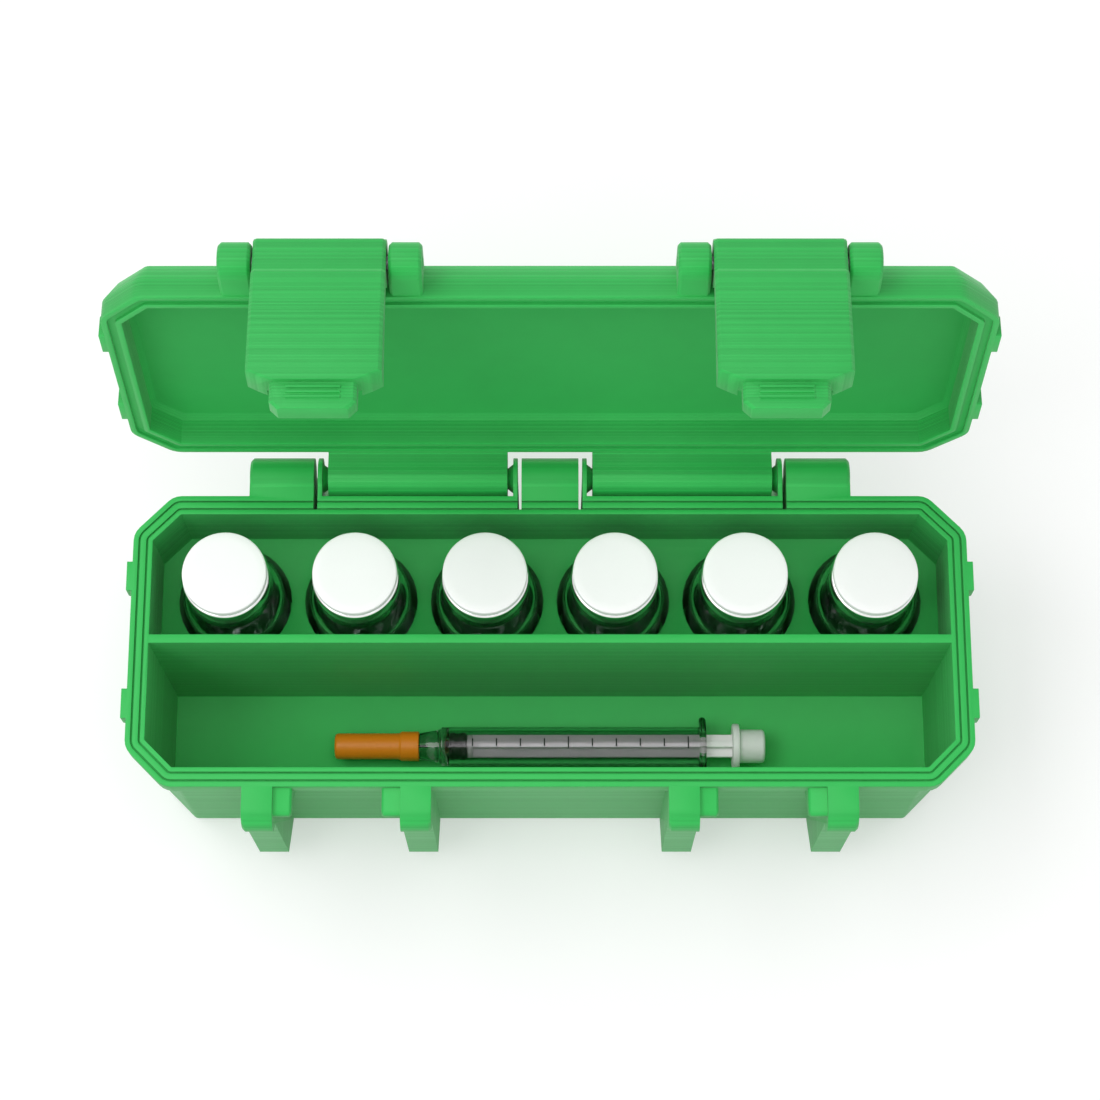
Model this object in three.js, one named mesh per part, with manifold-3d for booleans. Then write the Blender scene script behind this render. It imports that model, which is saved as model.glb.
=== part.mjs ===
// Hinged case for six injection vials and one insulin syringe, in millimetres.
// +Z is up, +X is to the right and -Y is the front, where the latches are.
// The origin is the centre of the flat underside.
// The lid stands open and can be closed, and each latch swings on its own pin.

import * as THREE from 'three';
import { mergeVertices } from 'three/addons/utils/BufferGeometryUtils.js';
import Module from 'manifold-3d';

const wasm = await Module();
wasm.setup();

// Outline of the case, seen from above at the rim
const caseLength = 129.2;
const caseDepth = 46.1;
const cornerCut = 6;
const cornerRound = 3;

// Base
const baseHeight = 36.5;
const floorThickness = 1.6;
const rimWidth = 3;
const flangeHeight = 3.2;
const wallSetback = 2;
const setbackRise = 3.2;
const underChamfer = 1.5;
const dividerThickness = 1.35;
const rackDrop = 13.3;
const rimGrooves = [[0.8, 1.1], [2, 2.3]];
const rimGrooveDepth = 0.6;
const seatGap = 0.05;

// Lid
const lidHeight = 6.5;
const lidCavity = 4.9;
const lidCavityChamfer = 0.85;
const lidGroove = [0.9, 2.1];
const lidGrooveDepth = 0.45;
const seamGap = 0.3;
const openAngle = THREE.MathUtils.degToRad(99.7);

// Stiffening ribs on both short sides
const ribProud = 0.85;
const ribLength = 4.6;
const ribSpacing = 20.2;

// Hinge: barrels and thin snap ears on the base, knuckles on the lid
const hingeSetback = 3.6;
const hingeDrop = 2.5;
const hingeRadius = 3.25;
const hingeInset = 17.75;
const middleBarrelWidth = 8.9;
const knuckleGap = 0.9;
const earThickness = 0.7;
const earSlit = 0.6;
const endBarrelWidth = 10;
const barrelLegReach = 1.35;
const edgeBevel = 0.45;
const bumpRadius = 2.3;
const bumpTipRadius = 0.9;
const bumpHeight = 1.8;
const runningGap = 0.3;

// Latches, their lugs and pins
const latchGap = 19.3;
const lugWidth = 4.7;
const noseReach = 3.25;
const noseRadius = 3.05;
const lidLugRadius = 3;
const latchPivotRise = 3.25;
const legReach = 4.55;
const legFoot = 7;
const latchBarrelRadius = 3.4;
const latchPlateReach = 3.1;
const latchPanelReach = 4;
const latchTop = 5.3;
const latchStep = 0.45;
const latchBevel = 0.5;
const latchPanelEnd = 17.7;
const latchThickness = 3.55;
const cheekDepth = 1.5;
const cheekTop = -8;
const latchCornerX = 3.3;
const latchCornerZ = 1.5;
const tabSetback = 0.85;
const tabWidth = 12;
const tabLength = 4.05;
const tabThickness = 3;
const tabCorner = 1.2;
const gripCount = 3;
const gripStart = 0.6;
const gripPitch = 0.78;
const gripHeight = 0.4;
const gripProud = 0.3;
const gripWidth = 7.46;
const pinRadius = 1;
const pinEndInset = 0.5;
const pinGap = 0.1;
const latchSideGap = 0.3;

// Catch stubs that the latches close over
const stubLength = 2.85;
const stubReach = 4.25;
const stubRound = 0.7;
const stubDrop = 1;
const stubHeight = 2.4;
const stubBevel = 0.35;
const heelClearance = 0.35;

// Vials
const vialCount = 6;
const rackEnd = 2.65;
const vialRadius = 8;
const vialHoleGap = 0.95;
const vialHeight = 38;
const glassWall = 1;
const glassFloor = 1.3;
const shoulderDrop = 14;
const neckDrop = 10;
const neckRadius = 4.9;
const neckBore = 3.5;
const lipDrop = 7;
const lipRadius = 6.3;
const stopperThickness = 2;
const stopperPlug = 5;
const collarWall = 0.3;
const collarRadius = 6.75;
const flipCapRadius = 6.55;
const flipCapThickness = 1.7;

// Syringe, lying along X with its needle to the left
const syringeInset = 10.15;
const syringeEndX = 35;
const barrelRadius = 3.15;
const barrelBore = 2.35;
const barrelEndX = 25.4;
const fingerFlange = 1.3;
const fingerReach = 4.8;
const fingerHalfHeight = 3.3;
const barrelFaceX = -16.8;
const hubRing = 1;
const hubLength = 3.5;
const hubTipRadius = 2.1;
const tipRadius = 1.25;
const tipLength = 2.4;
const pistonLength = 2.9;
const pistonGap = 0.1;
const rodWidth = 3.7;
const rodRib = 1;
const thumbX = 29.7;
const thumbThickness = 1.3;
const thumbRadius = 3.7;
const buttonRadius = 2.75;
const needleRadius = 0.2;
const needleLength = 12.5;
const capCollarLength = 2.9;
const capCollarRadius = 2.42;
const capLength = 13.7;
const capRadius = 2.12;
const capBore = 1.5;

// Sizes that follow from those above
const rimTop = baseHeight;
const frontEdge = -caseDepth / 2;
const backEdge = caseDepth / 2;
const frontWall = frontEdge + wallSetback;
const backWall = backEdge - wallSetback;
const innerFront = frontEdge + rimWidth;
const innerBack = backEdge - rimWidth;
const wallThickness = rimWidth - wallSetback;
const buried = wallThickness / 2;
const vialHoleRadius = vialRadius + vialHoleGap;
const rackHalf = caseLength / 2 - rimWidth - rackEnd - vialHoleRadius;
const vialPitch = 2 * rackHalf / (vialCount - 1);
const shoulderHeight = vialHeight - shoulderDrop;
const neckHeight = vialHeight - neckDrop;
const lipHeight = vialHeight - lipDrop;
const rackTop = rimTop - rackDrop;
const rackRow = innerBack - 1.4 - vialHoleRadius;
const dividerBack = rackRow - vialHoleRadius;
const dividerFront = dividerBack - dividerThickness;
const hingeY = backEdge + hingeSetback;
const hingeZ = rimTop - hingeDrop;
const earWidth = earSlit + earThickness + knuckleGap;
const knuckleInner = middleBarrelWidth / 2 + earWidth;
const knuckleOuter = caseLength / 2 - hingeInset - endBarrelWidth - earWidth;
const latchX = caseLength / 4;
const latchPivotY = frontEdge - 3.75;
const latchWidth = latchGap - 2 * latchSideGap;
const stubFrontY = frontEdge - stubReach;

const green = { color: 0x3bc15c, roughness: 0.5, metalness: 0 };
const clearGlass = { color: 0xdfeee6, roughness: 0.05, metalness: 0, transparent: true, opacity: 0.35 };
const greyRubber = { color: 0x6f7371, roughness: 0.8, metalness: 0 };
const blackRubber = { color: 0x1c1e1d, roughness: 0.7, metalness: 0 };
const whiteMetal = { color: 0xe8eae9, roughness: 0.35, metalness: 0.8 };
const steel = { color: 0xb9bdbf, roughness: 0.3, metalness: 1 };
const whitePlastic = { color: 0xf6f7f6, roughness: 0.4, metalness: 0 };
const palePlastic = { color: 0xc8d2cb, roughness: 0.45, metalness: 0 };
const orangePlastic = { color: 0xc87f2c, roughness: 0.5, metalness: 0 };

// One closed surface with shared corners and no collapsed faces
function closedSurface(geometry) {
  const bare = new THREE.BufferGeometry();
  bare.setAttribute('position', geometry.getAttribute('position'));
  if (geometry.index) bare.setIndex(geometry.index);
  const merged = mergeVertices(bare, 1e-4);
  const kept = [];
  const index = merged.index.array;
  for (let i = 0; i < index.length; i += 3) {
    const [a, b, c] = index.slice(i, i + 3);
    if (a !== b && b !== c && c !== a) kept.push(a, b, c);
  }
  merged.setIndex(kept);
  return merged;
}

function solid(geometry) {
  const surface = closedSurface(geometry);
  return new wasm.Manifold(new wasm.Mesh({
    numProp: 3,
    vertProperties: new Float32Array(surface.getAttribute('position').array),
    triVerts: new Uint32Array(surface.index.array),
  }));
}

function surfaceOf(body) {
  const mesh = body.getMesh();
  const geometry = new THREE.BufferGeometry();
  geometry.setAttribute('position', new THREE.BufferAttribute(mesh.vertProperties, 3));
  geometry.setIndex(new THREE.BufferAttribute(mesh.triVerts, 1));
  return geometry;
}

function join(bodies) {
  return bodies.reduce((sum, body) => sum.add(body));
}

function cut(body, tools) {
  return tools.reduce((rest, tool) => rest.subtract(tool), body);
}

function piece(name, geometry, look) {
  const material = new THREE.MeshStandardMaterial({ ...look, flatShading: true });
  const mesh = new THREE.Mesh(closedSurface(geometry), material);
  mesh.name = name;
  return mesh;
}

// Points on an arc round (centreX, centreY), angles in degrees
function arc(centreX, centreY, radius, from, to, steps) {
  const points = [];
  for (let i = 0; i <= steps; i += 1) {
    const angle = THREE.MathUtils.degToRad(from + (to - from) * i / steps);
    points.push([centreX + radius * Math.cos(angle), centreY + radius * Math.sin(angle)]);
  }
  return points;
}

// Rounds every corner of a convex outline that runs anticlockwise
function rounded(corners, radius, steps) {
  const points = [];
  corners.forEach((corner, i) => {
    const here = new THREE.Vector2(...corner);
    const back = new THREE.Vector2(...corners.at(i - 1)).sub(here).normalize();
    const ahead = new THREE.Vector2(...corners[(i + 1) % corners.length]).sub(here).normalize();
    const half = back.angleTo(ahead) / 2;
    const centre = back.clone().add(ahead).normalize().multiplyScalar(radius / Math.sin(half)).add(here);
    const start = Math.atan2(back.y, back.x) + Math.PI / 2;
    const turn = Math.PI - 2 * half;
    for (let k = 0; k <= steps; k += 1) {
      const angle = start + turn * k / steps;
      points.push([centre.x + radius * Math.cos(angle), centre.y + radius * Math.sin(angle)]);
    }
  });
  return points;
}

// The case outline, an oblong with cut corners, moved inwards by inset
function caseCorners(inset) {
  const x = caseLength / 2 - inset;
  const y = caseDepth / 2 - inset;
  const leg = cornerCut - inset * (2 - Math.SQRT2);
  return [
    [x, leg - y], [x, y - leg], [x - leg, y], [leg - x, y],
    [-x, y - leg], [-x, leg - y], [leg - x, -y], [x - leg, -y],
  ];
}

function caseOutline(inset) {
  return rounded(caseCorners(inset), Math.max(cornerRound - inset, 0.05), 3);
}

// A solid through level outlines that all have the same number of points
function stack(levels) {
  const count = levels[0].outline.length;
  const positions = levels.flatMap(({ outline, z }) => outline.flatMap(([x, y]) => [x, y, z]));
  const index = [];
  for (let level = 0; level + 1 < levels.length; level += 1) {
    for (let i = 0; i < count; i += 1) {
      const a = level * count + i;
      const b = level * count + (i + 1) % count;
      index.push(a, b, b + count, a, b + count, a + count);
    }
  }
  const last = (levels.length - 1) * count;
  const capOf = ({ outline }) => {
    const contour = outline.map((point) => new THREE.Vector2(...point));
    return THREE.ShapeUtils.triangulateShape(contour, []);
  };
  capOf(levels[0]).forEach(([a, b, c]) => index.push(a, c, b));
  capOf(levels.at(-1)).forEach(([a, b, c]) => index.push(last + a, last + b, last + c));
  const geometry = new THREE.BufferGeometry();
  geometry.setAttribute('position', new THREE.Float32BufferAttribute(positions, 3));
  geometry.setIndex(index);
  return geometry;
}

function caseStack(levels) {
  return stack(levels.map(([inset, z]) => ({ outline: caseOutline(inset), z })));
}

function sharpCaseStack(levels) {
  return stack(levels.map(([inset, z]) => ({ outline: caseCorners(inset), z })));
}

function prism(points, length) {
  const shape = new THREE.Shape(points.map(([x, y]) => new THREE.Vector2(x, y)));
  return new THREE.ExtrudeGeometry(shape, { depth: length, bevelEnabled: false, steps: 1 });
}

const yzDrawing = new THREE.Matrix4().makeBasis(
  new THREE.Vector3(0, 1, 0), new THREE.Vector3(0, 0, 1), new THREE.Vector3(1, 0, 0));
const xzDrawing = new THREE.Matrix4().makeBasis(
  new THREE.Vector3(1, 0, 0), new THREE.Vector3(0, 0, 1), new THREE.Vector3(0, -1, 0));

// Extrudes an outline drawn in Y and Z along X
function alongX(points, fromX, toX) {
  return prism(points, toX - fromX).applyMatrix4(yzDrawing).translate(fromX, 0, 0);
}

// The same, with the ends drawn in by a smaller outline over the length of a bevel
function bevelledAlongX(outlineOf, fromX, toX, lowBevel, highBevel) {
  const levels = [
    { outline: outlineOf(0), z: fromX + lowBevel },
    { outline: outlineOf(0), z: toX - highBevel },
  ];
  if (lowBevel > 0) levels.unshift({ outline: outlineOf(lowBevel), z: fromX });
  if (highBevel > 0) levels.push({ outline: outlineOf(highBevel), z: toX });
  return stack(levels).applyMatrix4(yzDrawing);
}

// Extrudes an outline drawn in X and Z along Y
function alongY(points, fromY, toY) {
  return prism(points, toY - fromY).applyMatrix4(xzDrawing).translate(0, toY, 0);
}

// The same, with the left and right front edges bevelled
function bevelledAlongY(points, fromY, toY, bevel) {
  const narrow = points.map(([x, z]) => [x - Math.sign(x) * bevel, z]);
  return stack([
    { outline: points, z: 0 },
    { outline: points, z: toY - fromY - bevel },
    { outline: narrow, z: toY - fromY },
  ]).applyMatrix4(xzDrawing).translate(0, toY, 0);
}

function box(low, high) {
  const size = high.map((value, i) => value - low[i]);
  const centre = high.map((value, i) => (value + low[i]) / 2);
  return new THREE.BoxGeometry(...size).translate(...centre);
}

// A turned piece: the profile is a list of [radius, height] pairs
function turned(profile, segments) {
  const points = profile.map(([radius, height]) => new THREE.Vector2(radius, height));
  return new THREE.LatheGeometry(points, segments).rotateX(Math.PI / 2);
}

// A turned piece whose axis is X: the profile is a list of [radius, x] pairs
function turnedOnX(profile, segments) {
  return turned(profile, segments).rotateY(Math.PI / 2);
}

function rodOnX(radius, fromX, toX, y, z, segments, endRadius = radius) {
  const profile = [[0, fromX], [radius, fromX], [endRadius, toX], [0, toX]];
  return turnedOnX(profile, segments).translate(0, y, z);
}

// Both halves of a pair that is mirrored across the middle of the case
function mirroredSpans(spans) {
  return spans.flatMap(([from, to]) => [[from, to], [-to, -from]]);
}

// A rib on a short side follows the flange and the wall, proud of both
function sideRibs(profile, y) {
  const ribs = [];
  for (const side of [1, -1]) {
    for (const centreY of [-ribSpacing / 2, ribSpacing / 2]) {
      const points = profile.map(([x, z]) => [side * x, z]);
      if (side < 0) points.reverse();
      ribs.push(solid(alongY(points, centreY - y, centreY + y)));
    }
  }
  return ribs;
}

// Base
const outerBarrel = [knuckleOuter + earWidth, knuckleOuter + earWidth + endBarrelWidth];
const outerEar = [knuckleOuter + knuckleGap, knuckleOuter + knuckleGap + earThickness];
const innerEar = [knuckleInner - knuckleGap - earThickness, knuckleInner - knuckleGap];
const middleBarrelHalf = middleBarrelWidth / 2;

// Section of a hinge barrel with the leg that carries it on the back wall
function barrelSection(shrink) {
  const radius = hingeRadius - shrink;
  const legY = hingeY + barrelLegReach - shrink;
  const flushAngle = THREE.MathUtils.radToDeg(Math.asin(hingeDrop / radius));
  const legAngle = -THREE.MathUtils.radToDeg(Math.acos((legY - hingeY) / radius));
  const wallZ = legFoot - (legY - backWall);
  return [
    [backWall - buried, rimTop],
    [backWall - buried, wallZ + buried],
    [backWall, wallZ],
    [legY, legFoot],
    ...arc(hingeY, hingeZ, radius, legAngle, 180 - flushAngle, 12),
  ];
}

// Section of a latch lug: a rounded nose at the rim over a leg on the front wall
function lugSection(shrink) {
  const reach = noseRadius - shrink;
  const noseY = frontEdge - noseReach;
  const legY = frontEdge - legReach;
  const legAngle = THREE.MathUtils.radToDeg(Math.acos((legY - noseY) / reach));
  const wallZ = legFoot - (frontWall - legY);
  const nose = arc(0, 0, 1, 90, 360 - legAngle, 10);
  return [
    ...nose.map(([y, z]) => [noseY + reach * y, rimTop - noseRadius + noseRadius * z]),
    [legY, legFoot],
    [frontWall, wallZ],
    [frontWall + buried, wallZ + buried],
    [frontWall + buried, rimTop],
  ];
}

// Section of a catch stub: flat on top, rounded in front and sloping underneath
function stubSection(shrink) {
  const top = rimTop - stubDrop - shrink;
  const front = stubFrontY + shrink;
  const low = rimTop - stubDrop - stubHeight / 2;
  return [
    [frontWall + buried, top],
    ...arc(front + stubRound, top - stubRound, stubRound, 90, 180, 3),
    [front, low],
    [frontWall + buried, low - (frontWall + buried - front)],
  ];
}

// Spans of the lugs and stubs along X: the flag tells whether the outer or free end is the low one
const lugSpans = [-latchX, latchX].flatMap((x) => [
  [x - latchGap / 2 - lugWidth, x - latchGap / 2, true],
  [x + latchGap / 2, x + latchGap / 2 + lugWidth, false],
]);
const stubSpans = [-latchX, latchX].flatMap((x) => [
  [x - latchGap / 2 - buried, x - latchGap / 2 + stubLength, false],
  [x + latchGap / 2 - stubLength, x + latchGap / 2 + buried, true],
]);

// Snap cones on the ears, each pointing at the end of a knuckle
function hingeBumps() {
  const slope = (bumpRadius - bumpTipRadius) / bumpHeight;
  const root = bumpRadius + slope * buried;
  const faces = [[outerEar[0], -1], [innerEar[1], 1], [-outerEar[0], 1], [-innerEar[1], -1]];
  return faces.map(([face, way]) => {
    const bump = way > 0
      ? rodOnX(root, face - buried, face + bumpHeight, hingeY, hingeZ, 20, bumpTipRadius)
      : rodOnX(bumpTipRadius, face - bumpHeight, face + buried, hingeY, hingeZ, 20, root);
    return solid(bump);
  });
}

// A groove that follows the outline of the case
function outlineGroove([from, to], low, high) {
  const outer = solid(caseStack([[from, low], [from, high]]));
  return outer.subtract(solid(caseStack([[to, low - 1], [to, high + 1]])));
}

function baseShell() {
  const half = caseLength / 2;
  const wallX = half - wallSetback;
  const shell = solid(caseStack([
    [wallSetback + underChamfer, 0],
    [wallSetback, underChamfer],
    [wallSetback, rimTop - flangeHeight - setbackRise],
    [0, rimTop - flangeHeight],
    [0, rimTop],
  ]));
  const inside = solid(sharpCaseStack([[rimWidth, floorThickness], [rimWidth, rimTop + 1]]));
  const trayBlock = solid(box([-half, innerFront - 1, 0], [half, dividerFront, rimTop + 2]));
  const bayBlock = solid(box([-half, dividerBack, rackTop], [half, innerBack + 1, rimTop + 2]));
  const bores = [];
  for (let i = 0; i < vialCount; i += 1) {
    const bore = turned([
      [0, floorThickness], [vialHoleRadius, floorThickness],
      [vialHoleRadius, rackTop + 0.5], [0, rackTop + 0.5],
    ], 32);
    bores.push(solid(bore.translate((i - (vialCount - 1) / 2) * vialPitch, rackRow, 0)));
  }
  const ribProfile = [
    [wallX - buried, rimTop],
    [wallX - buried, legFoot],
    [wallX, legFoot - buried],
    [wallX + ribProud, legFoot + ribProud],
    [wallX + ribProud, rimTop - flangeHeight - setbackRise],
    [half + ribProud, rimTop - flangeHeight],
    [half + ribProud, rimTop],
  ];
  const ears = [...mirroredSpans([outerEar, innerEar]), [-middleBarrelHalf, middleBarrelHalf]];
  const added = [
    ...sideRibs(ribProfile, ribLength / 2),
    ...ears.map(([from, to]) => solid(alongX(barrelSection(0), from, to))),
    ...mirroredSpans([outerBarrel]).map(([from, to]) => solid(bevelledAlongX(
      barrelSection, from, to, from < 0 ? edgeBevel : 0, from < 0 ? 0 : edgeBevel))),
    ...hingeBumps(),
    ...lugSpans.map(([from, to, outerLow]) => solid(bevelledAlongX(
      lugSection, from, to, outerLow ? edgeBevel : 0, outerLow ? 0 : edgeBevel))),
    ...stubSpans.map(([from, to, freeLow]) => solid(bevelledAlongX(
      stubSection, from, to, freeLow ? stubBevel : 0, freeLow ? 0 : stubBevel))),
  ];
  const slitSpans = mirroredSpans([[outerEar[1], outerBarrel[0]], [middleBarrelHalf, innerEar[0]]]);
  const slits = slitSpans.map(([from, to]) => solid(box(
    [from, backWall, legFoot], [to, hingeY + 9, rimTop + 1])));
  const grooves = rimGrooves.map((groove) => outlineGroove(groove, rimTop - rimGrooveDepth, rimTop + 1));
  const hollows = [inside.intersect(trayBlock), inside.intersect(bayBlock), ...bores];
  return cut(join([shell, ...added]), [...hollows, ...slits, ...grooves]);
}

// Lid, drawn closed with the hinge axis at the origin, so that a group can swing it
const lidSeatY = -hingeY;
const lidSeatZ = hingeDrop + seamGap;

function lidKnuckleSection() {
  const arm = [backEdge + hingeSetback - hingeRadius, 0];
  return [
    [innerBack + buried, 0],
    arm,
    ...arc(hingeY, -lidSeatZ, hingeRadius, 180, 408, 16),
    [backWall, lidHeight - 0.3],
    [innerBack + buried, lidHeight - 0.3],
  ];
}

function lidLugSection(shrink) {
  const radius = lidLugRadius - shrink;
  return [
    [innerFront - buried, latchPivotRise - radius],
    [innerFront - buried, lidHeight - 0.3],
    [frontWall, lidHeight - shrink],
    ...arc(latchPivotY, latchPivotRise, radius, 90, 270, 12),
  ];
}

function lidShell() {
  const half = caseLength / 2;
  const shell = solid(caseStack([[0, 0], [0, flangeHeight], [wallSetback, lidHeight]]));
  const cavity = solid(sharpCaseStack([
    [rimWidth, -1],
    [rimWidth, lidCavity - lidCavityChamfer],
    [rimWidth + lidCavityChamfer, lidCavity],
  ]));
  const ribProfile = [
    [half - rimWidth + buried, 0],
    [half + ribProud, 0],
    [half + ribProud, flangeHeight],
    [half - wallSetback + ribProud, lidHeight - 0.3],
    [half - rimWidth + buried, lidHeight - 0.3],
  ];
  const knuckles = mirroredSpans([[knuckleInner, knuckleOuter]])
    .map(([from, to]) => solid(alongX(lidKnuckleSection(), from, to)));
  const lugs = lugSpans.map(([from, to]) => solid(bevelledAlongX(
    lidLugSection, from, to, edgeBevel, edgeBevel)));
  const pinHoles = [-latchX, latchX].map((x) => solid(rodOnX(
    pinRadius + pinGap, x - latchGap, x + latchGap, latchPivotY, latchPivotRise, 20)));
  const socketDepth = bumpHeight - knuckleGap + runningGap;
  const slope = (bumpRadius - bumpTipRadius) / bumpHeight;
  const tip = bumpTipRadius + runningGap;
  const mouth = tip + slope * (socketDepth + 1);
  const sockets = [];
  for (const end of [knuckleInner, -knuckleOuter]) {
    sockets.push(rodOnX(mouth, end - 1, end + socketDepth, 0, 0, 20, tip));
  }
  for (const end of [knuckleOuter, -knuckleInner]) {
    sockets.push(rodOnX(tip, end - socketDepth, end + 1, 0, 0, 20, mouth));
  }
  const socketCuts = sockets.map((socket) => solid(socket.translate(0, hingeY, -lidSeatZ)));
  const sealGroove = outlineGroove(lidGroove, -1, lidGrooveDepth);
  const body = join([shell, ...sideRibs(ribProfile, ribLength / 2), ...knuckles, ...lugs]);
  return cut(body, [cavity, ...pinHoles, ...socketCuts, sealGroove]);
}

// Section of the latch's barrel and upper plate
function latchSection(shrink) {
  const plateY = latchPivotY - latchPlateReach + shrink;
  const panelY = latchPivotY - latchPanelReach + shrink;
  const rearY = stubFrontY - runningGap;
  return [
    ...arc(latchPivotY, latchPivotRise, latchBarrelRadius, -90, 120, 14),
    [plateY + 0.4, latchTop + 0.4],
    [plateY, latchTop],
    [plateY, latchStep],
    [panelY, latchStep - 0.95],
    [panelY, -2],
    [rearY, -2],
    [rearY, latchPivotRise - latchBarrelRadius],
  ];
}

// The lower corners of the panel and of the tab are cut at an angle
function cutCornerOutline(half, top, low, cornerX, cornerZ) {
  return [
    [-half, top], [-half, low + cornerZ], [cornerX - half, low],
    [half - cornerX, low], [half, low + cornerZ], [half, top],
  ];
}

// Latch, drawn closed in the lid's own place
function latchBody(side) {
  const half = latchWidth / 2;
  const panelY = latchPivotY - latchPanelReach;
  const panelBack = panelY + latchThickness;
  const tabY = panelY + tabSetback;
  const heelHalf = latchGap / 2 - stubLength - 2 * runningGap;
  const outline = (top) => cutCornerOutline(half, top, -latchPanelEnd, latchCornerX, latchCornerZ);
  const panel = bevelledAlongY(outline(-1), panelY, panelBack, latchBevel);
  const tab = bevelledAlongY(
    cutCornerOutline(tabWidth / 2, 1 - latchPanelEnd, -latchPanelEnd - tabLength, tabCorner, tabCorner),
    tabY, tabY + tabThickness, latchBevel);
  const heel = alongX([
    [panelY + 1, latchPivotRise],
    [panelY + 1, -4],
    [panelBack, -4],
    [frontEdge - heelClearance, 0.4],
    [frontEdge - heelClearance, latchPivotRise],
  ], -heelHalf, heelHalf);
  const cheekBlock = solid(alongY(outline(cheekTop), panelBack - 1, panelBack + cheekDepth));
  const betweenCheeks = solid(box(
    [-heelHalf - runningGap, panelBack, -latchPanelEnd - 1], [heelHalf + runningGap, frontEdge, 0]));
  // The stubs pass the latch on an arc round the hinge when the lid comes down
  const sweepRadius = hingeY - stubFrontY + runningGap;
  const sweep = solid(rodOnX(sweepRadius, -half - 1, half + 1, hingeY, -lidSeatZ, 180));
  const pocketTop = latchPivotRise - latchBarrelRadius;
  const pockets = [[-half - 1, -heelHalf], [heelHalf, half + 1]].map(([from, to]) => sweep.intersect(
    solid(box([from, panelY + 1, -latchPanelEnd - 1], [to, frontEdge, pocketTop]))));
  const grips = [];
  for (let i = 0; i < gripCount; i += 1) {
    const z = -latchPanelEnd - gripStart - i * gripPitch;
    grips.push(solid(box(
      [-gripWidth / 2, tabY - gripProud, z - gripHeight], [gripWidth / 2, tabY + 1, z])));
  }
  const pinHole = solid(rodOnX(
    pinRadius + runningGap, -half - 1, half + 1, latchPivotY, latchPivotRise, 20));
  const body = join([
    solid(bevelledAlongX(latchSection, -half, half, latchBevel, latchBevel)),
    solid(heel),
    solid(panel),
    cheekBlock.subtract(betweenCheeks),
    solid(tab),
    ...grips,
  ]);
  return surfaceOf(cut(body, [pinHole, ...pockets])).translate(side * latchX, 0, 0);
}

function latchPin(side) {
  const reach = latchGap / 2 + lugWidth - pinEndInset;
  return rodOnX(pinRadius, side * latchX - reach, side * latchX + reach, latchPivotY, latchPivotRise, 20);
}

// One vial standing at the origin
function vialPieces(number) {
  const lipTop = vialHeight - flipCapThickness - collarWall - stopperThickness - 2 * seatGap;
  const bore = vialRadius - glassWall;
  const glass = turned([
    [0, 0], [vialRadius - 0.8, 0], [vialRadius, 0.8], [vialRadius, shoulderHeight],
    [vialRadius - 0.9, shoulderHeight + 2], [neckRadius + 0.8, neckHeight - 0.6],
    [neckRadius, neckHeight + 0.6],
    [neckRadius, lipHeight], [lipRadius, lipHeight + 0.4], [lipRadius, lipTop], [neckBore, lipTop],
    [neckBore, neckHeight], [bore - 1, shoulderHeight + 1.6], [bore, shoulderHeight - 0.4],
    [bore, glassFloor + 0.8], [bore - 0.8, glassFloor], [0, glassFloor],
  ], 20);
  const stopperLow = lipTop + seatGap / 2;
  const stopper = turned([
    [0, stopperLow - stopperPlug], [neckBore - 0.6, stopperLow - stopperPlug],
    [neckBore - 0.3, stopperLow - stopperPlug + 1], [neckBore - 0.3, stopperLow],
    [lipRadius - 0.1, stopperLow], [lipRadius - 0.1, stopperLow + stopperThickness],
    [0, stopperLow + stopperThickness],
  ], 20);
  const collarTop = stopperLow + stopperThickness + seatGap / 2 + collarWall;
  const collar = turned([
    [neckRadius + 0.6, lipHeight - 0.9], [collarRadius - 0.2, lipHeight - 0.9],
    [collarRadius, lipHeight - 0.5], [collarRadius, collarTop - 0.3], [collarRadius - 0.3, collarTop],
    [neckBore, collarTop],
    [neckBore, collarTop - collarWall], [collarRadius - collarWall, collarTop - collarWall],
    [collarRadius - collarWall, lipHeight - 0.5], [neckRadius + 0.6, lipHeight - 0.5],
    [neckRadius + 0.6, lipHeight - 0.9],
  ], 20);
  const flipCap = turned([
    [0, collarTop + seatGap / 2], [flipCapRadius - 0.1, collarTop + seatGap / 2],
    [flipCapRadius, collarTop + 0.4], [flipCapRadius, vialHeight - 0.5],
    [flipCapRadius - 0.5, vialHeight], [0, vialHeight],
  ], 20);
  return [
    piece(`vial_${number}_glass`, glass, clearGlass),
    piece(`vial_${number}_stopper`, stopper, greyRubber),
    piece(`vial_${number}_crimp_collar`, collar, whiteMetal),
    piece(`vial_${number}_flip_cap`, flipCap, whitePlastic),
  ];
}

// Syringe, drawn with its axis on X
function syringeBarrel() {
  const ringX = barrelFaceX - hubRing;
  const hubX = ringX - hubLength;
  const tipX = hubX - tipLength;
  const inner = barrelFaceX + 0.1;
  const body = turnedOnX([
    [0, tipX], [tipRadius, tipX], [tipRadius, hubX], [hubTipRadius, hubX], [barrelRadius - 0.2, ringX],
    [barrelRadius, ringX + 0.3], [barrelRadius, barrelEndX], [0, barrelEndX],
  ], 20);
  const wings = [];
  for (const [from, to] of [[-90, 90], [90, 270]]) {
    const side = from < 0 ? 1 : -1;
    wings.push(...arc(side * (fingerReach - fingerHalfHeight), 0, fingerHalfHeight, from, to, 8));
  }
  const flange = alongX(wings, barrelEndX - fingerFlange, barrelEndX);
  const bore = rodOnX(barrelBore, inner, barrelEndX + 1, 0, 0, 20);
  const needleHole = rodOnX(needleRadius + 0.1, tipX - 1, tipX + 4, 0, 0, 8);
  return surfaceOf(cut(solid(body).add(solid(flange)), [solid(bore), solid(needleHole)]));
}

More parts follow.
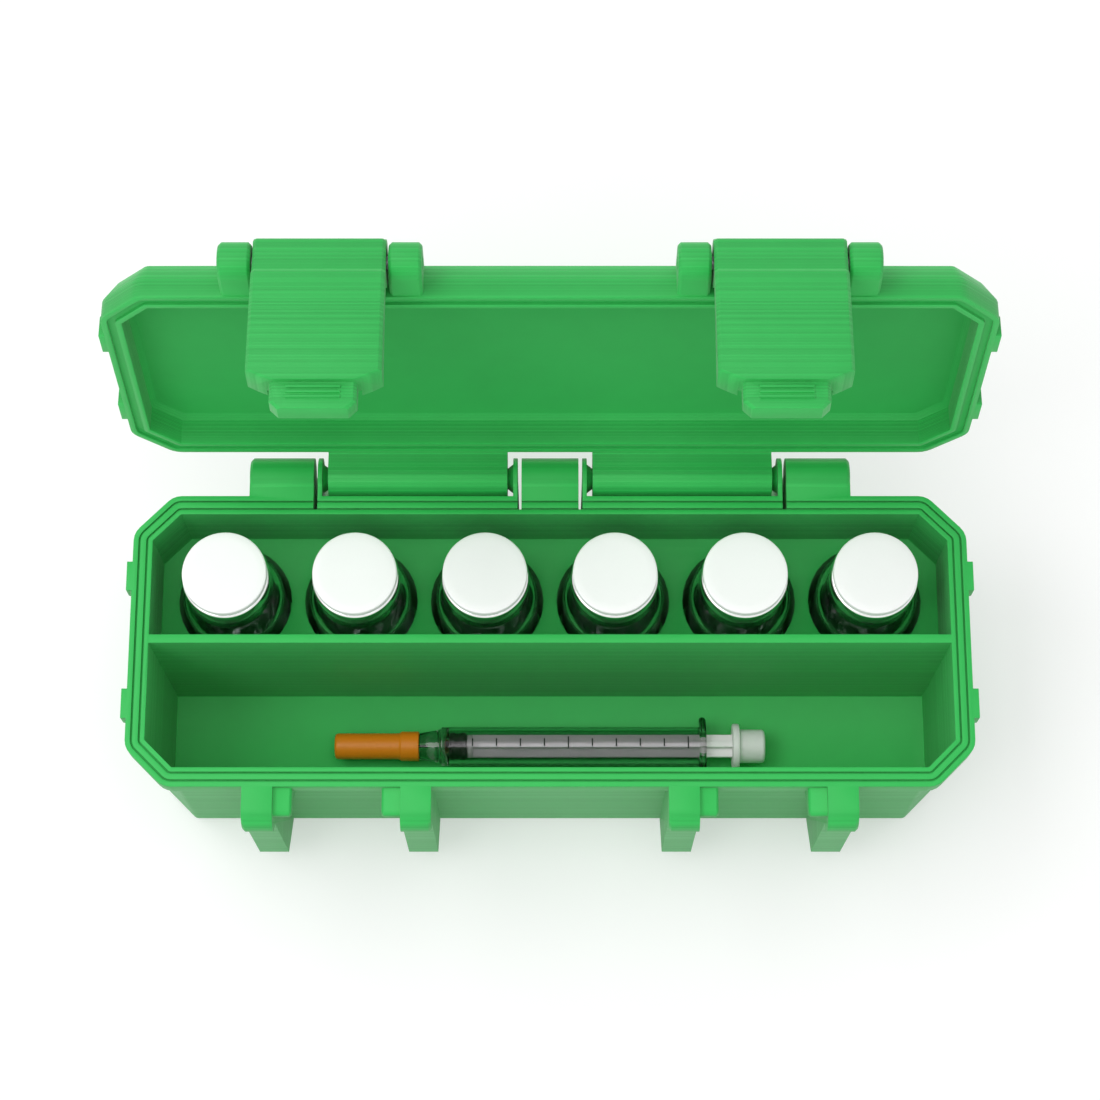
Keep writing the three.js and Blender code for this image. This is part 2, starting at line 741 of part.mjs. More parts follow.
function plungerRod() {
  const start = barrelFaceX + 0.4 + pistonLength + seatGap;
  const half = rodWidth / 2;
  const rib = rodRib / 2;
  const cross = [
    [rib, -half], [rib, -rib], [half, -rib], [half, rib], [rib, rib], [rib, half],
    [-rib, half], [-rib, rib], [-half, rib], [-half, -rib], [-rib, -rib], [-rib, -half],
  ];
  const foot = rodOnX(half, start, start + 1, 0, 0, 20);
  const thumb = turnedOnX([
    [0, thumbX], [thumbRadius - 0.2, thumbX], [thumbRadius, thumbX + 0.2],
    [thumbRadius, thumbX + thumbThickness - 0.2], [thumbRadius - 0.2, thumbX + thumbThickness],
    [buttonRadius, thumbX + thumbThickness],
    [buttonRadius, syringeEndX - 0.5], [buttonRadius - 0.5, syringeEndX], [0, syringeEndX],
  ], 20);
  return surfaceOf(join([solid(alongX(cross, start + 0.5, thumbX + 0.5)), solid(foot), solid(thumb)]));
}

function piston() {
  const start = barrelFaceX + 0.4;
  const radius = barrelBore - pistonGap;
  return turnedOnX([
    [0, start], [radius - 0.3, start], [radius, start + 0.4], [radius, start + 0.9],
    [radius - 0.35, start + 1.2], [radius - 0.35, start + pistonLength - 1.2],
    [radius, start + pistonLength - 0.9], [radius, start + pistonLength],
    [0, start + pistonLength],
  ], 20);
}

function needleCap() {
  const mouth = barrelFaceX - hubRing - hubLength - seatGap;
  const closedEnd = mouth - capLength;
  const collarX = mouth - capCollarLength;
  return turnedOnX([
    [0, closedEnd], [capRadius - 0.4, closedEnd], [capRadius, closedEnd + 0.4], [capRadius, collarX - 0.3],
    [capCollarRadius, collarX], [capCollarRadius, mouth], [capBore, mouth], [capBore, closedEnd + 1.2],
    [0, closedEnd + 1.2],
  ], 20);
}

function needle() {
  const root = barrelFaceX - hubRing - hubLength - tipLength + 3.9;
  return rodOnX(needleRadius, root - needleLength, root, 0, 0, 8);
}

const vialCase = new THREE.Group();
vialCase.add(piece('base_shell', surfaceOf(baseShell()), green));

const lid = new THREE.Group();
lid.position.set(0, hingeY, hingeZ);
lid.rotation.x = -openAngle;
const lidSeat = new THREE.Group();
lidSeat.position.set(0, lidSeatY, lidSeatZ);
lidSeat.add(piece('lid_shell', surfaceOf(lidShell()), green));
for (const [name, side] of [['left', -1], ['right', 1]]) {
  lidSeat.add(piece(`latch_${name}`, latchBody(side), green));
  lidSeat.add(piece(`latch_pin_${name}`, latchPin(side), steel));
}
lid.add(lidSeat);
vialCase.add(lid);

for (let i = 0; i < vialCount; i += 1) {
  const vial = new THREE.Group();
  vial.position.set((i - (vialCount - 1) / 2) * vialPitch, rackRow, floorThickness + seatGap);
  vial.add(...vialPieces(i + 1));
  vialCase.add(vial);
}

const syringe = new THREE.Group();
syringe.position.set(0, innerFront + syringeInset, floorThickness + thumbRadius + seatGap);
syringe.add(
  piece('syringe_barrel', syringeBarrel(), clearGlass),
  piece('syringe_plunger', plungerRod(), palePlastic),
  piece('syringe_piston', piston(), blackRubber),
  piece('syringe_needle', needle(), steel),
  piece('syringe_needle_cap', needleCap(), orangePlastic),
);
vialCase.add(syringe);

export default vialCase;
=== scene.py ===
import math

import bpy
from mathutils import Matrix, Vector


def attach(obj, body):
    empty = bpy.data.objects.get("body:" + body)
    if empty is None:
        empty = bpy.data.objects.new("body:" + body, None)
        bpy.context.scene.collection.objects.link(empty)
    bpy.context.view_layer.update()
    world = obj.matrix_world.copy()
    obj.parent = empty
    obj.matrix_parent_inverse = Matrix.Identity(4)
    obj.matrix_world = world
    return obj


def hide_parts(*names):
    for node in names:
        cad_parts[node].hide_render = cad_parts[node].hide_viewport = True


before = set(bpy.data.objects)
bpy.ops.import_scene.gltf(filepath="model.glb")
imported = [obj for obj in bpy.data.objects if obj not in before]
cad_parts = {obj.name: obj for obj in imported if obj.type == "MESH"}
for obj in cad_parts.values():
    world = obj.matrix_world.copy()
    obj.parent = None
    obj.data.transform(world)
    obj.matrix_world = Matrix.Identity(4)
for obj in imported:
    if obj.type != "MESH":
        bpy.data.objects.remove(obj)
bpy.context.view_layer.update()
print("frame loaded with", len(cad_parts), "nodes")

mm = 0.001
# the lid stands open by this angle, and the layers of lid and latches are turned with it
openAngle = math.radians(99.7)
# an edge that turns by more than this, in degrees, is a real edge
sharpAngle = 32
weldDistance = 1e-6


def deselectAll():
    if bpy.context.object and bpy.context.object.mode != "OBJECT":
        bpy.ops.object.mode_set(mode="OBJECT")
    bpy.ops.object.select_all(action="DESELECT")


def makeActive(piece):
    deselectAll()
    piece.select_set(True)
    bpy.context.view_layer.objects.active = piece


def applyPlace(piece):
    makeActive(piece)
    bpy.ops.object.transform_apply(location=True, rotation=True, scale=True)


def pointOutwards(piece):
    makeActive(piece)
    bpy.ops.object.mode_set(mode="EDIT")
    bpy.ops.mesh.select_all(action="SELECT")
    bpy.ops.mesh.remove_doubles(threshold=weldDistance)
    bpy.ops.mesh.normals_make_consistent(inside=False)
    bpy.ops.object.mode_set(mode="OBJECT")


# opens the piece for editing with only the chosen vertices or faces selected
def editChosen(piece, chosen, kind="VERT"):
    makeActive(piece)
    bpy.ops.object.mode_set(mode="EDIT")
    bpy.ops.mesh.select_mode(type=kind)
    bpy.ops.mesh.select_all(action="DESELECT")
    bpy.ops.object.mode_set(mode="OBJECT")
    for item in piece.data.vertices if kind == "VERT" else piece.data.polygons:
        item.select = chosen(item)
    bpy.ops.object.mode_set(mode="EDIT")


def softenEdges(piece, width, segments=2):
    makeActive(piece)
    bevel = piece.modifiers.new("softEdges", "BEVEL")
    bevel.width = width
    bevel.segments = segments
    bevel.limit_method = "ANGLE"
    bevel.angle_limit = math.radians(sharpAngle)
    bevel.use_clamp_overlap = False
    bevel.miter_outer = "MITER_ARC"
    bpy.ops.object.modifier_apply(modifier=bevel.name)


def smoothByAngle(piece, angle=40):
    makeActive(piece)
    bpy.ops.object.shade_smooth_by_angle(angle=math.radians(angle))


def combine(piece, other, how):
    makeActive(piece)
    step = piece.modifiers.new("combine", "BOOLEAN")
    step.operation = how
    step.solver = "EXACT"
    step.object = other
    bpy.ops.object.modifier_apply(modifier=step.name)
    bpy.data.objects.remove(other)


def finishPiece(piece, material, body, slot, *nodes):
    piece.data.materials.clear()
    piece.data.materials.append(material)
    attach(piece, body)
    if nodes:
        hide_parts(*nodes)


# a round piece drawn up from one disc, ring by ring; rings are (radius, height) pairs in millimetres
# an open piece such as a collar has its two end discs taken off and their rims bridged
def turnRings(name, rings, segments, openMiddle=False):
    deselectAll()
    radius, height = rings[0]
    bpy.ops.mesh.primitive_circle_add(
        vertices=segments, radius=radius * mm, fill_type="NGON", location=(0, 0, 0))
    piece = bpy.context.object
    piece.name = piece.data.name = name
    bpy.ops.object.mode_set(mode="EDIT")
    bpy.ops.mesh.select_all(action="SELECT")
    bpy.ops.transform.translate(value=(0, 0, height * mm))
    for nextRadius, nextHeight in rings[1:]:
        rise = (nextHeight - height) * mm
        bpy.ops.mesh.extrude_region_move(TRANSFORM_OT_translate={"value": (0, 0, rise)})
        ratio = nextRadius / radius
        bpy.ops.transform.resize(value=(ratio, ratio, 1), center_override=(0, 0, nextHeight * mm))
        radius, height = nextRadius, nextHeight
    bpy.ops.object.mode_set(mode="OBJECT")
    if openMiddle:
        editChosen(piece, lambda face: len(face.vertices) == segments, "FACE")
        bpy.ops.mesh.delete(type="ONLY_FACE")
        bpy.ops.mesh.select_mode(type="EDGE")
        bpy.ops.mesh.select_all(action="DESELECT")
        bpy.ops.mesh.select_non_manifold()
        bpy.ops.mesh.bridge_edge_loops()
        bpy.ops.mesh.select_mode(type="VERT")
        bpy.ops.object.mode_set(mode="OBJECT")
    pointOutwards(piece)
    return piece


# moves a turned piece to its place; alongX lays its axis down on X
def placeTurned(piece, place, alongX=False):
    if alongX:
        piece.rotation_euler = (0, math.pi / 2, 0)
    piece.location = [value * mm for value in place]
    applyPlace(piece)


# a copy of one finished piece with its own mesh
def copyPiece(piece, name, shift):
    makeActive(piece)
    bpy.ops.object.duplicate(linked=False)
    twin = bpy.context.object
    twin.name = twin.data.name = name
    twin.location = [value * mm for value in shift]
    applyPlace(twin)
    return twin


def newMaterial(name, color, roughness, metallic=0.0):
    material = bpy.data.materials.new(name)
    material.use_nodes = True
    shader = material.node_tree.nodes["Principled BSDF"]
    shader.inputs["Base Color"].default_value = (*color, 1)
    shader.inputs["Roughness"].default_value = roughness
    shader.inputs["Metallic"].default_value = metallic
    return material, material.node_tree, shader


def addMath(tree, operation, first, second=None):
    node = tree.nodes.new("ShaderNodeMath")
    node.operation = operation
    for socket, value in zip(node.inputs, (first, second)):
        if isinstance(value, (int, float)):
            socket.default_value = value
        elif value is not None:
            tree.links.new(value, socket)
    return node.outputs[0]


# the first value counts with its share, the second with the rest
def addBlend(tree, first, second, share):
    part = addMath(tree, "MULTIPLY", first, share)
    return addMath(tree, "ADD", part, addMath(tree, "MULTIPLY", second, 1 - share))


# noise over a place, or along one line when the socket is W
def addNoise(tree, scale, detail, source, socket="Vector"):
    noise = tree.nodes.new("ShaderNodeTexNoise")
    noise.noise_dimensions = "1D" if socket == "W" else "3D"
    noise.inputs["Scale"].default_value = scale
    noise.inputs["Detail"].default_value = detail
    tree.links.new(source, noise.inputs[socket])
    return noise.outputs["Fac"]


def addRamp(tree, factor, places, values):
    ramp = tree.nodes.new("ShaderNodeValToRGB")
    for element, place, value in zip(ramp.color_ramp.elements, places, values):
        element.position = place
        element.color = (*value, 1) if isinstance(value, tuple) else (value, value, value, 1)
    tree.links.new(factor, ramp.inputs["Fac"])
    return ramp.outputs["Color"]


def addBump(tree, shader, height, distance):
    bump = tree.nodes.new("ShaderNodeBump")
    bump.inputs["Distance"].default_value = distance
    tree.links.new(height, bump.inputs["Height"])
    tree.links.new(bump.outputs["Normal"], shader.inputs["Normal"])


printLook = {
    "color": (0.0139, 0.507, 0.0805), "shade": (0.0096, 0.392, 0.0603), "toneRange": (0.2, 0.7),
    "layerHeight": 0.00025, "layerDepth": 0.00003, "unevenness": 1.2,
    "bandScale": 0.55, "layerShare": 0.5,
    "mottleScale": 260, "mottleShare": 0.2,
    # painted shade: faces that stand across the layers are made darker than top faces
    "paintedSideShade": 0.83, "paintedSideShadeRange": (0.15, 0.65),
    "roughness": (0.50, 0.62), "roughRange": (0.2, 0.8),
    "sheen": 0.15, "sheenRoughness": 0.5,
}


# the part of a place or a normal that lies along the printing direction
def alongPrint(tree, vector, tilt):
    turn = tree.nodes.new("ShaderNodeMapping")
    turn.inputs["Rotation"].default_value = (tilt, 0, 0)
    tree.links.new(vector, turn.inputs["Vector"])
    split = tree.nodes.new("ShaderNodeSeparateXYZ")
    tree.links.new(turn.outputs["Vector"], split.inputs[0])
    return split.outputs["Z"]


# fused plastic: fine layers stacked along the printing direction, each a little different from the next
# faces that show the layers edge on get painted shade, a little darker than the smooth top faces
def greenPrint(name, tilt):
    look = printLook
    smooth, rough = look["roughness"]
    material, tree, shader = newMaterial(name, look["color"], smooth)
    shader.inputs["Sheen Weight"].default_value = look["sheen"]
    shader.inputs["Sheen Roughness"].default_value = look["sheenRoughness"]
    texture = tree.nodes.new("ShaderNodeTexCoord")
    place = texture.outputs["Object"]
    layers = addMath(tree, "DIVIDE", alongPrint(tree, place, tilt), look["layerHeight"])
    perLayer = tree.nodes.new("ShaderNodeTexWhiteNoise")
    perLayer.noise_dimensions = "1D"
    tree.links.new(addMath(tree, "FLOOR", layers), perLayer.inputs["W"])
    bands = addNoise(tree, look["bandScale"], 3, layers, "W")
    mix = addBlend(tree, perLayer.outputs["Value"], bands, look["layerShare"])
    mottle = addNoise(tree, look["mottleScale"], 3, place)
    tone = addBlend(tree, mottle, mix, look["mottleShare"])
    layered = addRamp(tree, tone, look["toneRange"], (look["shade"], look["color"]))
    # painted shade: the colour is darkened on faces that turn away from the printing direction
    upright = addMath(tree, "ABSOLUTE", alongPrint(tree, texture.outputs["Normal"], tilt))
    paintedShade = tree.nodes.new("ShaderNodeVectorMath")
    paintedShade.operation = "SCALE"
    tree.links.new(layered, paintedShade.inputs["Vector"])
    tree.links.new(addRamp(tree, upright, look["paintedSideShadeRange"], (look["paintedSideShade"], 1.0)), paintedShade.inputs["Scale"])
    tree.links.new(paintedShade.outputs["Vector"], shader.inputs["Base Color"])
    tree.links.new(addRamp(tree, mix, look["roughRange"], (rough, smooth)), shader.inputs["Roughness"])
    # the surface rises and falls once with every layer
    bead = addMath(tree, "PINGPONG", layers, 0.5)
    height = addMath(tree, "ADD", bead, addMath(tree, "MULTIPLY", mix, look["unevenness"]))
    addBump(tree, shader, height, look["layerDepth"])
    return material


greenBase = greenPrint("greenPrintBase", 0)
greenLid = greenPrint("greenPrintLid", openAngle)

# the vial glass tint is a faint green of its own, made darker as painted shade that darkens the wells seen
# through it
glassLook = {
    "color": (0.71, 0.78, 0.74), "roughness": 0.0, "ior": 1.5, "gloss": 0.5,
    "ripple": 0.00001, "rippleScale": 180,
}
# the barrel's grey tint is painted shade, darkening the rod seen inside the barrel
barrelLook = {
    "color": (0.67, 0.645, 0.67), "roughness": 0.01, "ior": 1.49, "gloss": 0.85,
    "ripple": 0.0000005, "rippleScale": 180,
}


# glass or clear plastic with a faint ripple in its surface
def clearMaterial(name, look):
    material, tree, shader = newMaterial(name, look["color"], look["roughness"])
    shader.inputs["Transmission Weight"].default_value = 1
    shader.inputs["IOR"].default_value = look["ior"]
    shader.inputs["Specular IOR Level"].default_value = look["gloss"]
    place = tree.nodes.new("ShaderNodeTexCoord").outputs["Object"]
    addBump(tree, shader, addNoise(tree, look["rippleScale"], 2, place), look["ripple"])
    return material


vialGlass = clearMaterial("vialGlass", glassLook)
syringeClear = clearMaterial("syringeClear", barrelLook)

grainLook = {
    "broader": 12, "fineShare": 0.5, "noiseRange": (0.3, 0.7), "rougher": 0.06, "smoother": 0.04,
    "stretch": 24, "lineScale": 700, "lineRougher": 0.08,
}


# moulded plastic or rubber: a faint grain in tone, gloss and surface
def mouldedMaterial(name, color, roughness, grain, depth, gloss=0.5, mottle=0.06):
    material, tree, shader = newMaterial(name, color, roughness)
    shader.inputs["Specular IOR Level"].default_value = gloss
    place = tree.nodes.new("ShaderNodeTexCoord").outputs["Object"]
    fine = addNoise(tree, grain, 4, place)
    broad = addNoise(tree, grain / grainLook["broader"], 2, place)
    tone = addBlend(tree, fine, broad, grainLook["fineShare"])
    darker = tuple(value * (1 - mottle) for value in color)
    shift = (roughness + grainLook["rougher"], roughness - grainLook["smoother"])
    tree.links.new(addRamp(tree, tone, grainLook["noiseRange"], (darker, color)), shader.inputs["Base Color"])
    tree.links.new(addRamp(tree, fine, grainLook["noiseRange"], shift), shader.inputs["Roughness"])
    addBump(tree, shader, fine, depth)
    return material


capWhite = mouldedMaterial(
    "capWhite", (0.95, 0.95, 0.95), 0.36, grain=2600, depth=0.000006, mottle=0.02)
rodPlastic = mouldedMaterial(
    "rodPlastic", (0.94, 0.90, 0.92), 0.42, grain=2200, depth=0.000006, mottle=0.04)
needleCapOrange = mouldedMaterial(
    "needleCapOrange", (0.86, 0.245, 0.008), 0.42, grain=2400, depth=0.000006, gloss=0.35)
stopperGrey = mouldedMaterial("stopperGrey", (0.16, 0.17, 0.165), 0.75, grain=3000, depth=0.00001)
pistonBlack = mouldedMaterial("pistonBlack", (0.010, 0.011, 0.010), 0.5, grain=3000, depth=0.000004)
markInk = mouldedMaterial("markInk", (0.008, 0.009, 0.009), 0.5, grain=4000, depth=0.000003)


# drawn metal: fine lines round the axis
def metalMaterial(name, color, roughness, depth):
    material, tree, shader = newMaterial(name, color, roughness, 1.0)
    place = tree.nodes.new("ShaderNodeTexCoord").outputs["Object"]
    stretch = tree.nodes.new("ShaderNodeMapping")
    stretch.inputs["Scale"].default_value = (1, 1, grainLook["stretch"])
    tree.links.new(place, stretch.inputs["Vector"])
    lines = addNoise(tree, grainLook["lineScale"], 3, stretch.outputs["Vector"])
    shift = (roughness + grainLook["lineRougher"], roughness)
    tree.links.new(addRamp(tree, lines, grainLook["noiseRange"], shift), shader.inputs["Roughness"])
    addBump(tree, shader, lines, depth)
    return material


crimpMetal = metalMaterial("crimpMetal", (0.86, 0.87, 0.86), 0.08, 0.000003)
pinSteel = metalMaterial("pinSteel", (0.22, 0.225, 0.23), 0.34, 0.000004)
print("materials made")


# printed shells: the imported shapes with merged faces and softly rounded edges
shell = {"edge": 0.00006, "weld": 2e-6, "flat": math.radians(0.6)}
shellPieces = {
    "base_shell": ("caseBase", "base", greenBase),
    "lid_shell": ("caseLid", "lid", greenLid),
    "latch_left": ("latchLeft", "latch_left", greenLid),
    "latch_right": ("latchRight", "latch_right", greenLid),
}


def softShell(node, name):
    piece = bpy.data.objects.new(name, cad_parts[node].data.copy())
    bpy.context.collection.objects.link(piece)
    makeActive(piece)
    bpy.ops.object.mode_set(mode="EDIT")
    bpy.ops.mesh.select_all(action="SELECT")
    bpy.ops.mesh.remove_doubles(threshold=shell["weld"])
    bpy.ops.mesh.dissolve_limited(angle_limit=shell["flat"])
    bpy.ops.object.mode_set(mode="OBJECT")
    softenEdges(piece, shell["edge"])
    smoothByAngle(piece, sharpAngle)
    return piece


for node, (name, body, material) in shellPieces.items():
    finishPiece(softShell(node, name), material, body, "green_print", node)
    print("printed shell:", node)


vial = {
    "count": 6, "pitch": 20.0, "row": 9.7, "floor": 1.65, "segments": 64,
    "radius": 8.0, "wall": 1.0, "lipTop": 33.9, "height": 38.0,
    "stopperFlange": 2.0, "collarWall": 0.3, "fit": 0.025,
}


# the first vial's pieces, standing on the origin
def vialParts():
    r, top = vial["radius"], vial["lipTop"]
    inner = r - vial["wall"]
    glass = turnRings("vialGlass_1", [
        (5.0, 0.35), (5.9, 0.1), (6.9, 0), (7.4, 0.1), (7.8, 0.38), (r, 0.85), (r, 24.0),
        (7.88, 24.85), (7.52, 25.65), (6.95, 26.35), (6.25, 26.9), (5.6, 27.35), (5.15, 27.9),
        (4.93, 28.6), (4.9, 30.9), (5.2, 31.05), (6.1, 31.2), (6.3, 31.45), (6.3, top - 0.3),
        (6.15, top), (3.7, top), (3.5, top - 0.2), (3.5, 28.3), (3.75, 27.6), (4.3, 26.9),
        (5.2, 26.25), (6.05, 25.5), (6.7, 24.65), (inner, 23.6), (inner, 2.2), (6.75, 1.6),
        (6.1, 1.32), (5.0, 1.5),
    ], vial["segments"])
    low = top + vial["fit"]
    stopperTop = low + vial["stopperFlange"]
    stopper = turnRings("vialStopper_1", [
        (2.3, low - 5.0), (2.9, low - 5.0), (3.15, low - 4.6), (3.2, low - 4.0), (3.2, low), (6.1, low),
        (6.2, low + 0.15), (6.2, stopperTop - 0.15), (6.05, stopperTop),
    ], vial["segments"])
    collarTop = stopperTop + vial["fit"] + vial["collarWall"]
    underTop = collarTop - vial["collarWall"]
    collar = turnRings("crimpCollar_1", [
        (5.5, 30.1), (6.35, 30.1), (6.62, 30.18), (6.75, 30.4), (6.75, collarTop - 0.42),
        (6.68, collarTop - 0.18), (6.5, collarTop - 0.04), (6.3, collarTop), (3.5, collarTop),
        (3.5, underTop), (6.3, underTop), (6.45, underTop - 0.15), (6.45, 30.55), (5.5, 30.5),
    ], vial["segments"], openMiddle=True)
    capLow, capTop = collarTop + vial["fit"], vial["height"]
    flipCap = turnRings("flipCap_1", [
        (5.9, capLow), (6.3, capLow), (6.45, capLow + 0.1), (6.5, capLow + 0.3), (6.5, capTop - 0.26),
        (6.47, capTop - 0.14), (6.4, capTop - 0.05), (6.25, capTop), (5.0, capTop - 0.02),
    ], vial["segments"])
    return glass, stopper, collar, flipCap


vialPieces = vialParts()
vialFinish = [
    (vialGlass, "clear_glass", "glass"), (stopperGrey, "grey_rubber", "stopper"),
    (crimpMetal, "crimp_metal", "crimp_collar"), (capWhite, "white_plastic", "flip_cap"),
]
for piece in vialPieces:
    smoothByAngle(piece)
    placeTurned(piece, ((1 - vial["count"]) / 2 * vial["pitch"], vial["row"], vial["floor"]))
for number in range(1, vial["count"] + 1):
    for piece, (material, slot, node) in zip(vialPieces, vialFinish):
        shift = ((number - 1) * vial["pitch"], 0, 0)
        twin = piece if number == 1 else copyPiece(piece, piece.name.replace("_1", f"_{number}"), shift)
        finishPiece(twin, material, f"vial_{number}", slot, f"vial_{number}_{node}")
print("vials stand in the rack")


# the syringe's axis lies along X
syringe = {
    "axisY": -9.9, "axisZ": 5.35, "segments": 56,
    "barrelRadius": 3.15, "bore": 2.35, "frontX": -16.8, "endX": 25.4,
    "shoulder": 1.0, "hubLength": 3.5, "tipLength": 2.4,
    "flangeReach": 4.8, "flangeHalf": 3.3, "flangeThick": 1.15, "flangeRound": 0.5, "flangeHole": 2.75,
    "pistonGap": 0.4, "pistonLength": 2.9,
}
axisPlace = (0, syringe["axisY"], syringe["axisZ"])
ringX = syringe["frontX"] - syringe["shoulder"]
hubX = ringX - syringe["hubLength"]
tipX = hubX - syringe["tipLength"]
pistonX = syringe["frontX"] + syringe["pistonGap"]


def layOnAxis(piece, smoothAngle=40):
    placeTurned(piece, axisPlace, alongX=True)
    pointOutwards(piece)
    smoothByAngle(piece, smoothAngle)
    return piece


# a disc drawn out to both sides, with a hole round the barrel's bore
def fingerFlange():
    end, thick = syringe["endX"], syringe["flangeThick"]
    deselectAll()
    bpy.ops.mesh.primitive_cylinder_add(
        vertices=syringe["segments"], radius=syringe["flangeHalf"] * mm, depth=thick * mm,
        location=(0, 0, (end - thick / 2) * mm))
    flange = bpy.context.object
    spread = (syringe["flangeReach"] - syringe["flangeHalf"]) * mm
    for side in (1, -1):
        editChosen(flange, lambda vertex: vertex.co.y * side > weldDistance)
        bpy.ops.transform.translate(value=(0, side * spread, 0))
        bpy.ops.object.mode_set(mode="OBJECT")
    applyPlace(flange)
    softenEdges(flange, syringe["flangeRound"] * mm, 5)
    hole = syringe["flangeHole"]
    core = turnRings("flangeCore", [(hole, end - 3), (hole, end + 3)], syringe["segments"])
    combine(flange, core, "DIFFERENCE")
    return flange


# the bore opens out of a conical bottom, and a thin channel leads on through the hub
def syringeBarrel():
    r, bore = syringe["barrelRadius"], syringe["bore"]
    front, end = syringe["frontX"], syringe["endX"]
    barrel = turnRings("syringeBarrel", [
        (0.8, front - 0.55), (bore - 0.35, front + 0.1), (bore, front + 0.4), (bore, end - 0.15),
        (bore + 0.15, end), (r - 0.1, end), (r, end - 0.1), (r, ringX + 0.35), (r - 0.05, ringX + 0.12),
        (r - 0.3, ringX), (2.75, ringX - 0.25), (2.6, ringX - 0.9), (2.2, hubX + 0.25), (2.05, hubX),
        (1.4, hubX), (1.25, hubX - 0.12), (1.2, tipX + 0.15), (1.1, tipX), (0.35, tipX),
        (0.3, tipX + 0.1), (0.3, tipX + 4.0),
    ], syringe["segments"])
    combine(barrel, fingerFlange(), "UNION")
    return layOnAxis(barrel)


finishPiece(syringeBarrel(), syringeClear, "syringe", "clear_plastic", "syringe_barrel")

rodSize = {
    "half": 1.85, "rib": 0.5, "softEdge": 0.12, "gap": 0.05, "footSegments": 48,
    "thumbX": 29.7, "thumbThick": 1.15, "thumbSeat": 0.5, "endX": 35.0,
}


# a rod of four ribs with a round foot, a thumb disc and a blunt end
def plungerRod():
    start = pistonX + syringe["pistonLength"] + rodSize["gap"]
    end = rodSize["thumbX"] + rodSize["thumbSeat"]
    rib, half = rodSize["rib"], rodSize["half"]
    deselectAll()
    bpy.ops.mesh.primitive_cube_add(size=1, location=(0, 0, (start + end) / 2 * mm))
    rod = bpy.context.object
    rod.name = rod.data.name = "plungerRod"
    rod.scale = (2 * rib * mm, 2 * rib * mm, (end - start) * mm)
    applyPlace(rod)
    editChosen(rod, lambda face: abs(face.normal.z) < 0.5, "FACE")
    bpy.ops.mesh.extrude_faces_move(TRANSFORM_OT_shrink_fatten={"value": (half - rib) * mm})
    bpy.ops.object.mode_set(mode="OBJECT")
    softenEdges(rod, rodSize["softEdge"] * mm)
    foot = turnRings("rodFoot", [
        (half - 0.15, start), (half, start + 0.15), (half, start + 0.85), (half - 0.15, start + 1.0),
    ], rodSize["footSegments"])
    combine(rod, foot, "UNION")
    thumb, last = rodSize["thumbX"], rodSize["endX"]
    over = thumb + rodSize["thumbThick"]
    head = turnRings("rodHead", [
        (3.45, thumb), (3.62, thumb + 0.08), (3.7, thumb + 0.28), (3.7, over - 0.28), (3.62, over - 0.08),
        (3.45, over), (2.95, over), (2.8, over + 0.06), (2.75, over + 0.2), (2.73, last - 0.6),
        (2.66, last - 0.3), (2.45, last - 0.08), (2.15, last), (1.7, last), (1.55, last - 0.12),
    ], syringe["segments"])
    combine(rod, head, "UNION")
    return layOnAxis(rod, 35)


finishPiece(plungerRod(), rodPlastic, "plunger", "pale_plastic", "syringe_plunger")


# two sealing lips with a groove between them
def piston():
    start, radius = pistonX, syringe["bore"] - 0.1
    return layOnAxis(turnRings("syringePiston", [
        (radius - 0.9, start), (radius - 0.35, start + 0.08), (radius - 0.08, start + 0.25),
        (radius, start + 0.45), (radius, start + 0.85), (radius - 0.06, start + 1.0),
        (radius - 0.16, start + 1.15), (radius - 0.16, start + 1.75), (radius - 0.06, start + 1.9),
        (radius, start + 2.05), (radius, start + 2.65), (radius - 0.1, start + 2.8),
        (radius - 0.25, start + syringe["pistonLength"]),
    ], syringe["segments"]))


finishPiece(piston(), pistonBlack, "plunger", "black_rubber", "syringe_piston")

needleCapSize = {"gap": 0.05, "length": 13.7, "collar": 2.9}


# a closed sleeve with a wider collar at its mouth
def needleCap():
    mouth = hubX - needleCapSize["gap"]
    end = mouth - needleCapSize["length"]
    collar = mouth - needleCapSize["collar"]
    return layOnAxis(turnRings("needleCap", [
        (1.4, end + 1.2), (1.5, end + 1.35), (1.5, mouth - 0.1), (1.6, mouth), (2.3, mouth),
        (2.42, mouth - 0.12), (2.42, collar + 0.12), (2.38, collar), (2.2, collar - 0.22),
        (2.12, collar - 0.45), (2.12, end + 0.55), (2.06, end + 0.28), (1.9, end + 0.09), (1.65, end),
    ], syringe["segments"]))


finishPiece(needleCap(), needleCapOrange, "needle_cap", "orange_plastic", "syringe_needle_cap")

needleSize = {"seat": 3.9, "length": 12.5, "radius": 0.2, "segments": 20}


def needle():
    root = tipX + needleSize["seat"]
    end, r = root - needleSize["length"], needleSize["radius"]
    rings = [(0.03, end), (0.12, end + 0.35), (r, end + 0.8), (r, root)]
    return layOnAxis(turnRings("syringeNeedle", rings, needleSize["segments"]))


finishPiece(needle(), pinSteel, "syringe", "steel", "syringe_needle")

# a stroke reaches this many degrees to each side of the barrel's top
marks = {
    "first": -12.57, "step": 3.89, "count": 10, "width": 0.24, "lift": 0.015, "ink": 0.02,
    "long": (4, 9), "longReach": 19, "shortReach": 12, "segments": 180, "margin": 0.1,
}


